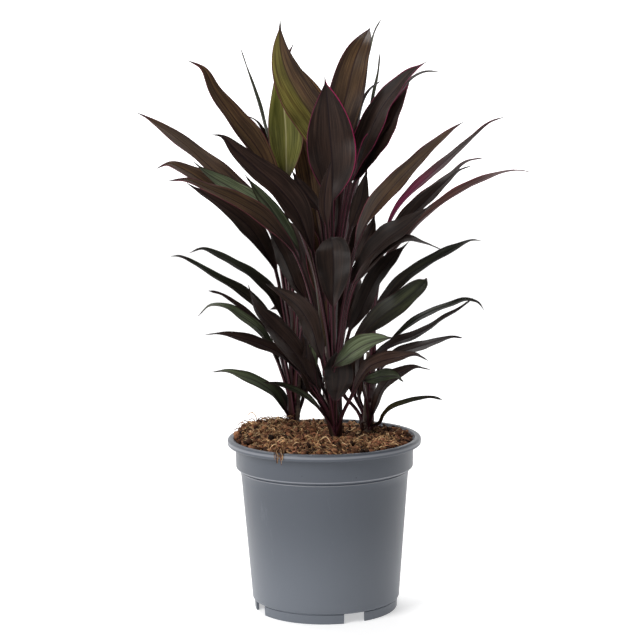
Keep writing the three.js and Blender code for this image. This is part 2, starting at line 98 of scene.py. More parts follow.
# Painted highlight lines round the pot, on the rim and at the foot of the collar, where light
# catches the rounded edges: the height and half height of each in metres, and how strong it is
PAINTED_HIGHLIGHT_BANDS = ((0.1671, 0.0016, 0.4), (0.1417, 0.0008, 0.5), (0.1379, 0.0006, 0.5))

# The soil. A nest of wisps is its middle and its spread, and a small one is pale.
SOIL_SEED = 11
SOIL_LEVEL = 166
SOIL_DEPTH = 14
SOIL_MOUND = 11
MOUND_AT = (-50, 21)
MOUND_SPREAD = 33
SOIL_EDGE = 84.8
SOIL_RELIEF = 3.2
LUMP_SPACING = 11
SOIL_RINGS = 70
SOIL_SECTORS = 170
# Painted shade on the soil close round each stem: how far it reaches, and how dark it is at the
# stem
HOLE_REACH = 11
HOLE_SHADE = 0.3
CRUMBS = 4300
CRUMB_LEAST = 0.9
CRUMB_MORE = 3.3
FLAKES = 230
FLAKE_SIZES = (2.2, 5.6)
FIBRES = 1900
FIBRE_LEAST = 3
FIBRE_MORE = 15
WISPS = 900
WISP_LENGTHS = (5, 17)
WISP_SHADE = 0.8
PALE_WISP_SHADE = 1.35
PALE_NEST = 12
NESTS = ((-44, 7, 24), (-50, 12, 18), (-42, -48, 7), (-14, -32, 9), (24, -30, 8), (58, -36, 8))
STRAND_STEPS = 5
SPILL_X = -42
SPILL_SPREAD = 2.6
SPILL_FIBRES = 14
SPILL_DROP = (0.5, 9)
# The way of a spilled fibre over the rim: each point's distance from the axis, and its height
SPILL_PATH = ((79, 169), (87, 172.5), (92, 171), (95.6, 168.5), (96.2, 168))
SOIL_TINT = "33211a"
PEAT = ["4c3326", "634331", "7a523a", "33221a", "8c644a"]
BARK = ["93614a", "7e553f", "a2705a", "6c4a38"]
COIR = ["b8956e", "a07c58", "d2b48c", "86664a", "c09c74"]
ANY_TURN = 6.3

# The canes: where each stands, how far it leans by its top, how high it grows, and its leaves
CANE_FOOT = 150
CANE_RADIUS = 4.8
CANE_TIP_RADIUS = 3.2
CANE_SIDES = 24
CANE_RING_STEP = 6.5
CANE_STEP = 1.3
SCAR_HEIGHT = 0.35
LEAN_FROM = 7
CANES = {
    "left": {
        "x": -29, "y": 38, "lean": (5, 2), "top": 252,
        "leaves": "a b d f e2 g h k l m n p p2 y1",
    },
    "front": {
        "x": 11, "y": -8, "lean": (-1, 4), "top": 245,
        "leaves": "c e r l2 o q C C2 M N s y2 T x3 K1 K2 K3 O G S",
    },
    "right": {
        "x": 43, "y": 25, "lean": (3, 2), "top": 250,
        "leaves": "H I1 I2 J P Q1 Q2 R U V W y3 y4 y5",
    },
    "back": {
        "x": 5, "y": 62, "lean": (1, -6), "top": 290,
        "leaves": "A B B2 i j x1 x2 D E1 E2 E3 F1 F2 F3",
    },
}

# The blades
PETIOLE_WIDTH = 4.6
PETIOLE_HALF_THICK = 1.1
RIB_HALF_THICK = 0.42
MARGIN_HALF_THICK = 0.17
TIP_WIDTH = 0.7
WITHERED_FROM = 0.93
WITHERED_WIDTH = 2.8
THREAD = 0.04
WIDEST_AT = 0.45
BLUNT_LEAVES = {"M": 0.64, "N": 0.6}
BASE_SWELL = 0.85
PETIOLE_FOLD_DEG = 50
NECK_FOLD_DEG = 34
BLADE_FOLD_DEG = 15
FLARE = 5
OPENING = 3
WAVE_HEIGHT = 0.055
WAVES = 1.8
RIPPLE_HEIGHT = 0.016
SHEATH = 0.4
SHEATH_WIDTH = 16
SHEATH_FOLD_DEG = 48
TWIST_DEG = 5
LEAF_SEED = 300
RIPPLES = (3.5, 6)
LEAF_SHADES = (0.6, 0.84)
STALK_SHARE = 0.85
CORE_SHARE = 0.55
VEIN_SLANT = 0.035
# How deep the groove over the midrib and the keel under it are, and how far they reach
GROOVE = (0.4, 0.9)
KEEL = (0.7, 1.3)
HEEL_ACROSS = 0.36
HEEL_UP = 0.48
PETIOLE_STEPS = 12
BLADE_STEPS = 44
SECTION = (0.0, 0.05, 0.12, 0.28, 0.5, 0.72, 0.88, 0.96, 1.0)

# Each leaf: its name, the height of its foot, the depth of its tip, its width, how far its upper
# face is turned from the viewer at neck and tip in degrees, and the middle of its blade from neck
# to tip. Each point there is its place across and up in the front view, on the upright plane
# through the pot's axis, and where it needs one, how much further back it lies.
LEAVES = [
    ("a", 238, 130, 31, 60, 58, (-49, 388), (-92, 425), (-132, 460), (-164, 481), (-177, 488)),
    ("b", 242, 40, 28, 46, 40, (-37, 402), (-57, 449), (-83, 484), (-101, 509), (-112, 529),
     (-127, 537)),
    ("d", 222, 60, 32, 50, 50, (-50, 372), (-79, 398), (-107, 419), (-130, 433), (-147, 439),
     (-159, 434)),
    ("f", 198, 0, 31, 50, 52, (-45, 333), (-52, 352), (-59, 365), (-69, 379), (-93, 398),
     (-115, 411), (-130, 420)),
    ("e2", 196, -20, 28, 50, 52, (-18, 305), (-26, 324), (-35, 346), (-46, 366), (-53, 385)),
    ("g", 226, 30, 22, 50, 46, (-40, 385), (-65, 404), (-92, 419), (-111, 430), (-124, 441)),
    ("h", 236, -5, 19, 42, 42, (-22, 350), (-37, 377), (-50, 397), (-62, 411), (-74, 427)),
    ("k", 188, 20, 20, 62, 66, (-35, 276), (-40, 293), (-47, 310), (-58, 322), (-72, 334),
     (-95, 348), (-116, 356), (-129, 352)),
    ("l", 182, -20, 17, 60, 66, (-42, 266), (-50, 285), (-62, 301), (-78, 314), (-102, 329),
     (-124, 343), (-138, 349), (-147, 349)),
    ("m", 180, 50, 7, 60, 30, (-48, 268), (-66, 287), (-84, 302), (-99, 312), (-111, 315)),
    ("n", 178, 30, 16.5, 62, 66, (-42, 238), (-50, 260), (-62, 278), (-78, 290), (-95, 300),
     (-110, 301), (-122, 290)),
    ("p", 172, 30, 17, 56, 60, (-35, 192), (-42, 205), (-50, 216), (-65, 226), (-81, 232),
     (-95, 236), (-110, 235)),
    ("p2", 172, 60, 13, 50, 50, (-29, 190), (-36, 202), (-41, 212), (-47, 218), (-53, 222),
     (-60, 224)),
    ("y1", 172, 40, 18, 30, 30, (-21, 206), (-19, 220), (-16, 236), (-13, 254), (-10, 267)),
    ("c", 218, -20, 34, 40, 40, (-9, 350), (-18, 385), (-38, 414), (-61, 434), (-81, 451),
     (-95, 464), (-106, 466)),
    ("e", 192, -80, 24, 52, 60, (-25, 348), (-52, 384), (-80, 402), (-108, 415), (-129, 423),
     (-148, 422)),
    ("r", 180, -130, 25, 45, 40, (-1, 244), (-5, 263), (-12, 283), (-24, 300), (-41, 313),
     (-55, 321)),
    ("l2", 178, -90, 33, 55, 60, (-7, 218), (-15, 236), (-24, 252), (-35, 266), (-50, 281),
     (-64, 298), (-72, 320)),
    ("o", 178, -70, 17, 58, 62, (-22, 232), (-38, 251), (-60, 263), (-84, 270), (-103, 273),
     (-115, 272)),
    ("q", 174, -60, 9, 58, 50, (-2, 195), (-13, 207), (-24, 215), (-35, 220), (-47, 223),
     (-59, 224)),
    ("C", 235, 5, 49, 0, 5, (10, 400), (11, 430), (9, 462), (7, 492), (4, 520)),
    ("C2", 230, -15, 14, 20, 20, (5, 375), (3, 395), (5, 418), (9, 439)),
    ("M", 190, -35, 35, 0, 0, (10, 296), (10, 311), (11, 333), (10, 355), (8, 367, 12)),
    ("N", 174, -45, 29, 0, 0, (11, 204), (13, 216), (15, 231), (14, 244), (12, 254)),
    ("s", 185, -30, 13, 20, 20, (-8, 233), (-11, 245), (-12, 256), (-11, 268)),
    ("y2", 176, -45, 18, 20, 20, (-4, 204), (-9, 218), (-14, 234), (-16, 251), (-17, 268)),
    ("T", 182, -100, 26, 46, 50, (10, 238), (23, 251), (38, 261), (52, 265), (68, 267)),
    ("x3", 228, 15, 18, 30, 30, (33, 338), (41, 362), (48, 376), (51, 388)),
    ("K1", 222, -70, 30, 55, 55, (27, 320), (42, 347), (60, 365), (77, 376), (93, 387),
     (108, 397)),
    ("K2", 212, -85, 21, 62, 84, (30, 318), (46, 341), (64, 356), (83, 364), (100, 360),
     (117, 352)),
    ("K3", 198, -40, 27, 46, 50, (25, 272), (37, 299), (50, 325), (64, 342), (84, 361)),
    ("O", 190, -60, 25, 40, 35, (28, 260), (42, 277), (58, 291), (74, 302), (88, 312, -8),
     (98, 320, -24), (101, 325, -44)),
    ("G", 232, 0, 28, 57, 57, (31, 353), (40, 380), (60, 408), (84, 433), (108, 454), (126, 469),
     (137, 476)),
    ("H", 238, 80, 15.5, 62, 60, (61, 367), (66, 384), (74, 397), (85, 409), (114, 435),
     (146, 462), (162, 475), (176, 480)),
    ("I1", 225, 50, 20, 66, 70, (54, 353), (76, 384), (101, 407), (123, 425), (140, 438),
     (157, 441)),
    ("I2", 218, 25, 22, 58, 60, (52, 345), (75, 377), (101, 403), (119, 419), (132, 429),
     (146, 434)),
    ("J", 208, -125, 18, 68, 76, (55, 333), (72, 359), (95, 384), (122, 404), (150, 419),
     (176, 428), (192, 429), (205, 426)),
    ("P", 200, 0, 20, 60, 64, (50, 292), (65, 313), (83, 330), (107, 344), (128, 355), (144, 362),
     (154, 361)),
    ("Q1", 190, 50, 12, 62, 66, (63, 260), (76, 274), (93, 287), (110, 295), (126, 300),
     (139, 304), (151, 301), (157, 293)),
    ("Q2", 186, 5, 15, 58, 76, (42, 239), (55, 254), (70, 263), (86, 269), (102, 277), (116, 286),
     (131, 294), (146, 305)),
    ("R", 180, 60, 16, 60, 62, (53, 233), (70, 251), (90, 258), (108, 263), (126, 267),
     (136, 266)),
    ("S", 174, -144, 19, 56, 62, (28, 212), (34, 228), (44, 240), (59, 246), (75, 249), (90, 250),
     (102, 244)),
    ("U", 172, -60, 18, 58, 62, (46, 188), (49, 201), (53, 212), (61, 224), (75, 233), (89, 238),
     (104, 235)),
    ("V", 178, -90, 16, 46, 50, (39, 224), (50, 228), (61, 230), (71, 229), (78, 223)),
    ("W", 171, -20, 6, 40, 40, (54, 183), (58, 191), (66, 199), (80, 204), (94, 207), (106, 208),
     (116, 205)),
    ("y3", 172, 60, 12, 30, 30, (19, 212), (15, 231), (13, 250), (13, 270)),
    ("y4", 176, 50, 15, 40, 40, (31, 208), (27, 226), (27, 243), (30, 260)),
    ("y5", 178, 60, 14, 40, 40, (35, 206), (35, 227), (36, 247), (38, 267)),
    ("A", 272, 30, 40, -15, 5, (8, 420), (5, 450), (-7, 480), (-20, 500), (-32, 523), (-38, 546),
     (-38, 575)),
    ("B", 252, 55, 36, 0, 0, (-33, 420), (-34, 441), (-34, 467), (-36, 494), (-40, 516),
     (-44, 531)),
    ("B2", 270, 75, 24, 20, 30, (12, 425), (5, 470), (-7, 501), (-20, 521), (-32, 535),
     (-26, 551)),
    ("i", 265, 95, 9, 70, 70, (-42, 430), (-50, 462), (-58, 493), (-67, 521), (-76, 548)),
    ("j", 260, 85, 12, 60, 60, (-36, 415), (-47, 450), (-55, 468), (-62, 479), (-71, 484)),
    ("x1", 262, 45, 15, 10, 20, (-2, 390), (-13, 406), (-22, 418), (-28, 430)),
    ("x2", 238, 30, 17, 20, 20, (27, 372), (36, 397), (40, 413), (44, 431)),
    ("D", 276, 40, 36, 0, 10, (14, 430), (17, 470), (25, 505), (33, 536), (40, 552, 8),
     (45, 561, 24), (48, 566, 40)),
    ("E1", 268, 95, 8, 60, 60, (30, 470), (39, 512), (46, 543), (52, 563), (59, 575)),
    ("E2", 262, 85, 7, 60, 60, (39, 440), (46, 480), (51, 505), (55, 525), (57, 543)),
    ("E3", 255, 75, 8, 60, 60, (30, 450), (35, 479), (40, 496), (47, 508), (58, 516)),
    ("F1", 246, 45, 34, 48, 50, (26, 415), (41, 459), (56, 491), (72, 510), (86, 524), (102, 534)),
    ("F2", 242, 40, 29, 44, 46, (31, 417), (39, 434), (50, 454), (67, 480), (79, 501), (85, 515)),
    ("F3", 244, 55, 17, 62, 70, (36, 430), (55, 475), (72, 502), (88, 519), (100, 524),
     (114, 524)),
]
# How far back the middle of a leaf swings
SWINGS = {"b": -10, "M": -25, "N": -20, "J": 28}

# Leaves on the far side, set round the back cane by the golden angle, the lowest first. The arc
# gives each point's share of the reach and of the rise.
FAR_LEAVES = 14
FAR_FEET = (185, 285)
FAR_REACH = (79, 60)
FAR_RISE = (96, 205)
FAR_ARC = ((0, 0), (0.1, 0.26), (0.28, 0.55), (0.6, 0.9), (0.86, 1.03), (1.05, 1))
FAR_SIZES = (0.8, 1.12)
FAR_SPREAD_DEG = 46
FAR_TURN_DEG = 25
FAR_NECK = 0.34
FAR_WIDTH = 30

# The colours of a leaf: its blade, the streaks along its veins, and its midrib
TONES = {
    "dark": ("281b17", "40302a", "1e1217"),
    "black": ("1b1412", "2a201c", "180f10"),
    "brown": ("3c2a21", "604a33", "2e1c1a"),
    # The tan, olive and green tones are partly leaf colour and partly painted light: brightened to
    # stand in for light shining through the backlit leaves A, B and B2
    "tan": ("6c5038", "907050", "4a3428"),
    "olive": ("5c4e28", "837c40", "4a3826"),
    "green": ("5a5c26", "8c8a48", "b8b080"),
    "sage": ("434a35", "68735a", "3a3430"),
    "moss": ("20231b", "343828", "1c1a18"),
    "tawny": ("3c2624", "583a36", "2c1c1c"),
    "magenta": ("7c1a4c", "9c2c62", "8a2058"),
}
STALK = ("241413", "36211f", "1c100f")
WITHERED = "1d1714"

# The colours of a leaf's left and right margins
EDGES = {
    "plain": ("2c1f1b", "2c1f1b"),
    "rosy": ("70303c", "5a2a34"),
    "left": ("662038", "2c1c1c"),
    "bright": ("6a1f40", "b02260"),
    "both": ("84264c", "84264c"),
    "pale": ("8c6a60", "7a5048"),
}
STALK_EDGE = "4e2832"

# The leaves of each colouring: its tone at the neck and at the tip, its margins, and the tone of
# its right half where that differs. A leaf that isn't named here has the plain one.
PLAIN_LEAF = ("dark", "dark", "plain")
BROWN_LEAF = ("brown", "brown", "rosy")
COLOURINGS = {
    ("dark", "brown", "rosy"): "a d e G",
    BROWN_LEAF: "b",
    ("black", "dark", "plain"): "f",
    ("sage", "sage", "plain"): "g h s T V i E1 E2",
    ("dark", "moss", "plain"): "k l P",
    ("moss", "sage", "plain"): "n p",
    ("moss", "moss", "plain"): "p2 Q1",
    ("sage", "moss", "plain"): "q",
    ("black", "black", "plain"): "N M K1 K2 K3",
    ("black", "moss", "plain"): "O",
    ("olive", "sage", "plain"): "W",
    ("magenta", "dark", "rosy"): "H",
    ("dark", "tawny", "rosy"): "J",
    # A, B and B2 wear tones brightened with painted light shining through them
    ("olive", "olive", "left", "brown"): "A",
    ("green", "green", "pale"): "B",
    ("tan", "tan", "rosy"): "B2",
    ("dark", "dark", "bright"): "C",
    ("dark", "brown", "left"): "D",
    ("dark", "dark", "both"): "F1",
    ("black", "dark", "both"): "F2",
    ("dark", "dark", "rosy"): "I1",
}
LEAF_TONES = {name: tone for tone, names in COLOURINGS.items() for name in names.split()}


def mix(a, b, t):
    return a + (b - a) * t


def ease(t):
    t = np.clip(t, 0, 1)
    return t * t * (3 - 2 * t)


def golden_share(n):
    return (n * 0.61803398875) % 1


def colour(text):
    """A linear colour from a six-figure screen colour."""
    shares = [int(text[k:k + 2], 16) / 255 for k in (0, 2, 4)]
    return np.array([s / 12.92 if s <= 0.04045 else ((s + 0.055) / 1.055) ** 2.4 for s in shares])


def socket_name(word):
    return "Specular IOR Level" if word == "specular" else word.replace("_", " ").title()


class Value:
    """A shader socket that takes part in Python arithmetic."""

    def __init__(self, finish, socket):
        self.finish = finish
        self.socket = socket

    def math(self, operation, *values):
        settings = {"operation": operation}
        return self.finish.node("ShaderNodeMath", settings, dict(enumerate(values)))

    def __add__(self, other):
        return self.math("ADD", self, other)

    def __sub__(self, other):
        return self.math("SUBTRACT", self, other)

    def __rsub__(self, other):
        return self.math("SUBTRACT", other, self)

    def __mul__(self, other):
        return self.math("MULTIPLY", self, other)

    def __abs__(self):
        return self.math("ABSOLUTE", self)

    __radd__ = __add__
    __rmul__ = __mul__


class Finish:
    """A procedural material under way. Its constants are set on the surface's own sockets."""

    def __init__(self, name, **constants):
        self.material = bpy.data.materials.new(name)
        self.material.use_nodes = True
        self.tree = self.material.node_tree
        self.surface = self.tree.nodes["Principled BSDF"]
        for socket, value in constants.items():
            self.surface.inputs[socket_name(socket)].default_value = value

    def node(self, kind, settings=None, values=None, output=0):
        made = self.tree.nodes.new(kind)
        for setting, value in (settings or {}).items():
            if setting == "stops":
                self.stops(made.color_ramp, value)
            else:
                setattr(made, setting, value)
        for socket, value in (values or {}).items():
            self.feed(made.inputs[socket], value)
        return Value(self, made.outputs[output])

    def stops(self, ramp, stops):
        while len(ramp.elements) < len(stops):
            ramp.elements.new(0.5)
        for element, (place, shade) in zip(ramp.elements, stops):
            element.position = place
            element.color = (*shade, 1)

    def feed(self, socket, value):
        if isinstance(value, Value):
            self.tree.links.new(value.socket, socket)
        elif socket.type == "RGBA":
            socket.default_value = (*value, 1)
        else:
            socket.default_value = value

    def attribute(self, name, output="Fac"):
        return self.node("ShaderNodeAttribute", {"attribute_name": name}, output=output)

    def blend(self, share, a, b, how="MIX"):
        settings = {"data_type": "RGBA", "blend_type": how}
        return self.node("ShaderNodeMix", settings, {0: share, 6: a, 7: b}, output=2)

    def stretch(self, vector, scale):
        return self.node("ShaderNodeVectorMath", {"operation": "MULTIPLY"}, {0: vector, 1: scale})

    def grain(self, vector, scale, detail=2.0, rough=0.5):
        values = {"Vector": vector, "Scale": scale, "Detail": detail, "Roughness": rough}
        return self.node("ShaderNodeTexNoise", {}, values)

    def rise(self, value, low, high):
        """0 where the value is under low, 1 over high, and a smooth step between."""
        settings = {"interpolation_type": "SMOOTHSTEP"}
        values = {0: value, 1: low, 2: high, 3: 0.0, 4: 1.0}
        return self.node("ShaderNodeMapRange", settings, values)

    def bump(self, height, distance, strength=1.0, below=None):
        values = {"Height": height, "Distance": distance, "Strength": strength}
        if below is not None:
            values["Normal"] = below
        return self.node("ShaderNodeBump", {}, values)

    def done(self, **links):
        for socket, value in links.items():
            self.feed(self.surface.inputs[socket_name(socket)], value)
        return self.material


# An attribute's kind and field in Blender, by how many numbers it has at each point
ATTRIBUTE_KINDS = {
    1: ("FLOAT", "value"), 3: ("FLOAT_VECTOR", "vector"), 4: ("FLOAT_COLOR", "color"),
}


def piece(name, points, faces, materials, replaces=(), attributes=None, face_slots=None):
    """One mesh of the object, from points in millimetres. It rides with the only body."""
    mesh = bpy.data.meshes.new(name)
    mesh.from_pydata(np.asarray(points, float) * MM, [], faces)
    for material in materials:
        mesh.materials.append(material)
    mesh.polygons.foreach_set("use_smooth", [True] * len(mesh.polygons))
    if face_slots is not None:
        mesh.polygons.foreach_set("material_index", face_slots)
    for key, values in (attributes or {}).items():
        values = np.asarray(values, np.float32)
        kind, field = ATTRIBUTE_KINDS[values[0].size]
        mesh.attributes.new(key, kind, "POINT").data.foreach_set(field, values.ravel())
    mesh.update()
    made = bpy.data.objects.new(name, mesh)
    bpy.context.scene.collection.objects.link(made)
    return dress(made, replaces)


def dress(made, replaces=()):
    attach(made, "root")
    if replaces:
        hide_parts(*replaces)
    return made


def picture():
    lens = bpy.data.cameras.new("camera")
    lens.sensor_width = SENSOR_MM
    lens.lens = SENSOR_MM * FOCAL_PX / PICTURE_PX
    lens.clip_end = 50
    eye = bpy.data.objects.new("camera", lens)
    turned = Euler((math.radians(90 - PITCH_DEG), 0, 0)).to_matrix()
    turned = turned @ Matrix.Rotation(math.radians(ROLL_DEG), 3, "Z")
    eye.matrix_world = Matrix.Translation(Vector(EYE) * MM) @ turned.to_4x4()
    bpy.context.scene.collection.objects.link(eye)
    bpy.context.scene.camera = eye
    bpy.context.scene.view_settings.view_transform = "Standard"


def light(name, place, size, power, shade=(1, 1, 1)):
    """A soft panel that faces the plant. Its place is in metres."""
    lamp = bpy.data.lights.new(name, "AREA")
    lamp.shape = "RECTANGLE"
    lamp.size, lamp.size_y = size
    lamp.energy = power
    lamp.color = shade
    made = bpy.data.objects.new(name, lamp)
    aim = Vector((0, 0, AIM_HEIGHT)) - Vector(place)
    turned = aim.to_track_quat("-Z", "Y").to_matrix().to_4x4()
    made.matrix_world = Matrix.Translation(place) @ turned
    bpy.context.scene.collection.objects.link(made)


def stage_piece(name, points, faces, glow):
    """A pale, softly glowing part of the studio. Its points are in metres."""
    pale = Finish(name, roughness=0.95, specular=0.0, emission_strength=glow)
    cloud = pale.grain(pale.node("ShaderNodeTexCoord", output="Object"), 0.7)
    shade = pale.blend(cloud, (0.8, 0.8, 0.8), (0.84, 0.84, 0.84))
    mesh = bpy.data.meshes.new(name)
    mesh.from_pydata(points, [], faces)
    mesh.materials.append(pale.done(base_color=shade, emission_color=shade))
    made = bpy.data.objects.new(name, mesh)
    bpy.context.scene.collection.objects.link(made)


def studio():
    world = bpy.data.worlds.new("studio")
    world.use_nodes = True
    air = world.node_tree.nodes["Background"].inputs
    air["Color"].default_value = (1, 1, 1, 1)
    air["Strength"].default_value = WORLD_GLOW
    bpy.context.scene.world = world
    light("key_panel", (-1.5, -1.5, 1.5), (1.1, 1.4), 45)
    light("top_panel", (-0.3, 0.8, 2.0), (1.4, 1.4), 34)
    light("left_kicker", (-1.31, 0.92, 0.45), (0.5, 1.1), 2.2, WARM)
    light("right_kicker", (1.31, 0.92, 0.45), (0.4, 1.1), 1.6, WARM)

    def around(angles, share, heights):
        return [(STAGE_REACH * math.cos(a) * share, STAGE_REACH * math.sin(a) * share, z)
                for z in heights for a in angles]

    floor = around(full_turn(STAGE_SIDES), 1, (0,))
    stage_piece("floor", floor, [range(STAGE_SIDES)], FLOOR_GLOW)
    columns = STAGE_SIDES + 1
    wall = [math.radians(mix(*BACKDROP_ARC_DEG, k / STAGE_SIDES)) for k in range(columns)]
    faces = [(k, k + 1, k + columns + 1, k + columns) for k in range(STAGE_SIDES)]
    stage_piece("backdrop", around(wall, BACKDROP_SHARE, BACKDROP_HEIGHTS), faces, BACKDROP_GLOW)


def leaf_finish():
    finish = Finish("ti_leaf", specular=0.12)
    place = finish.attribute("grain", "Vector")
    streaks = finish.grain(finish.stretch(place, (0.34, 0.018, 1.0)), 1.0, 3.0, 0.6)
    veins = finish.grain(finish.stretch(place, (1.7, 0.03, 1.0)), 1.0, 1.0)
    cloud = finish.grain(finish.stretch(place, (0.06, 0.02, 1.0)), 1.0, 2.0)
    margin = finish.attribute("margin")
    rib = abs(finish.attribute("rib"))
    under = finish.attribute("under")
    streaked = finish.rise(streaks + (veins - 0.5) * 0.5, 0.42, 0.66)
    plain = finish.attribute("blade_tint", "Color")
    streak = finish.attribute("streak_tint", "Color")
    blade = finish.blend(streaked, plain, streak)
    shade = finish.blend(finish.rise(cloud, 0.35, 0.7), (0.72, 0.72, 0.74), (1.18, 1.14, 1.1))
    blade = finish.blend(1.0, blade, shade, "MULTIPLY")
    fine = finish.blend(finish.rise(veins, 0.3, 0.7), (0.82, 0.82, 0.82), (1.18, 1.18, 1.15))
    blade = finish.blend(1.0, blade, fine, "MULTIPLY")
    rusty = finish.blend(1.0, blade, (1.25, 1.06, 1.06), "MULTIPLY")
    blade = finish.blend(under, blade, rusty)
    on_rib = (1 - finish.rise(rib, 0.35, 1.1)) * 0.8
    blade = finish.blend(on_rib, blade, finish.attribute("rib_tint", "Color"))
    on_margin = 1 - finish.rise(margin + (veins - 0.5) * 0.5, 0.35, 1.15)
    blade = finish.blend(on_margin, blade, finish.attribute("margin_tint", "Color"))
    ridged = finish.bump(veins, 0.00035, 0.35)
    return finish.done(
        base_color=blade,
        roughness=0.34 + 0.16 * streaks,
        normal=finish.bump(cloud, 0.0015, 0.3, ridged),
    )


def cane_finish():
    finish = Finish("ti_cane", roughness=0.55)
    place = finish.node("ShaderNodeTexCoord", output="Object")
    rings = finish.grain(finish.stretch(place, (20.0, 20.0, 420.0)), 1.0, 3.0)
    mottle = finish.grain(place, 160.0, 4.0, 0.6)
    stops = [(0.3, colour("2a211c")), (0.5, colour("4a3a30")), (0.72, colour("6a5a44"))]
    bark = finish.node("ShaderNodeValToRGB", {"stops": stops}, {0: rings * 0.6 + mottle * 0.4})
    return finish.done(base_color=bark, normal=finish.bump(rings + mottle, 0.0006, 0.6))


def pot_finish():
    finish = Finish("blue_grey_plastic", specular=0.3)
    place = finish.node("ShaderNodeTexCoord", output="Object")
    cloud = finish.grain(place, 9.0, 3.0)
    skin = finish.grain(place, 900.0, 2.0)
    scuffs = finish.grain(finish.stretch(place, (60.0, 60.0, 14.0)), 1.0, 5.0, 0.7)
    specks = finish.node("ShaderNodeTexVoronoi", {}, {"Vector": place, "Scale": 46.0})
    height = finish.node("ShaderNodeSeparateXYZ", {}, {0: place}, output=2)
    plain = finish.blend(cloud, colour("484c54"), colour("50555d"))
    # Painted light: the pot is painted paler towards its foot, standing in for light bounced up
    # from the floor
    plain = finish.blend(1 - finish.rise(height, 0.0, 0.12), plain, colour("656a72"))
    wear_and_highlights = finish.blend(finish.rise(scuffs, 0.6, 0.8) * 0.25, plain, colour("858a92"))
    # Painted highlights: pale lines on the rim and at the collar's foot stand in for light caught
    # by the rounded edges; the scuffs before them are real wear
    for middle, reach, share in PAINTED_HIGHLIGHT_BANDS:
        off = abs(height - middle)
        painted_highlight = (1 - finish.rise(off, reach * 0.4, reach)) * share
        wear_and_highlights = finish.blend(painted_highlight, wear_and_highlights, colour("9a9ca2"))
    speckled = finish.blend((1 - finish.rise(specks, 0.02, 0.035)) * 0.6, wear_and_highlights, colour("2a2b2e"))
    return finish.done(
        base_color=speckled,
        roughness=0.34 + 0.12 * cloud + 0.1 * finish.rise(scuffs, 0.5, 0.8),
        normal=finish.bump(skin, 0.00012, 0.35),
    )


def soil_finish(name, wear):
    finish = Finish(name, roughness=0.95, specular=0.15)
    place = finish.node("ShaderNodeTexCoord", output="Object")
    coarse = finish.grain(place, 260.0, 5.0, 0.7)
    fine = finish.grain(place, 1100.0, 3.0, 0.6)
    shade = finish.blend(finish.rise(coarse, 0.3, 0.7), (0.5, 0.48, 0.46), (1.35, 1.3, 1.25))
    tinted = finish.blend(1.0, finish.attribute("tint", "Color"), shade, "MULTIPLY")
    crumbly = finish.bump(coarse + fine * 0.5, 0.0016 * wear, 0.7)
    return finish.done(base_color=tinted, normal=crumbly)


def full_turn(sides):
    return [TURN * k / sides for k in range(sides)]


def polar(radius, angle, *height):
    return (radius * math.cos(angle), radius * math.sin(angle), *height)


def arc(middle, radius, start_deg, end_deg, steps=5):
    """Points of a rounded edge in a profile."""
    angles = [math.radians(mix(start_deg, end_deg, k / steps)) for k in range(steps + 1)]
    return [(middle[0] + radius * math.cos(a), middle[1] + radius * math.sin(a)) for a in angles]


def lathe(profile, sides):
    """Points and faces of a profile turned round the upright axis, from axis to axis."""
    points = [(0, 0, profile[0][1])]
    for radius, height in profile[1:-1]:
        points += [polar(radius, angle, height) for angle in full_turn(sides)]
    points.append((0, 0, profile[-1][1]))
    faces = []
    rows = len(profile) - 2
    for k in range(sides):
        after = (k + 1) % sides
        faces.append((0, 1 + after, 1 + k))
        for row in range(rows - 1):
            a = 1 + row * sides
            faces.append((a + k, a + after, a + sides + after, a + sides + k))
        last = 1 + (rows - 1) * sides
        faces.append((last + k, last + after, len(points) - 1))
    return points, faces


def cut_away(made, cutter):
    """Cuts one mesh from another and drops the cutter."""
    knife = made.modifiers.new("cut", "BOOLEAN")
    knife.operation = "DIFFERENCE"
    knife.solver = "EXACT"
    knife.object = cutter
    evaluated = made.evaluated_get(bpy.context.evaluated_depsgraph_get())
    whole = bpy.data.meshes.new_from_object(evaluated)
    made.modifiers.clear()
    made.data = whole
    bpy.data.objects.remove(cutter)


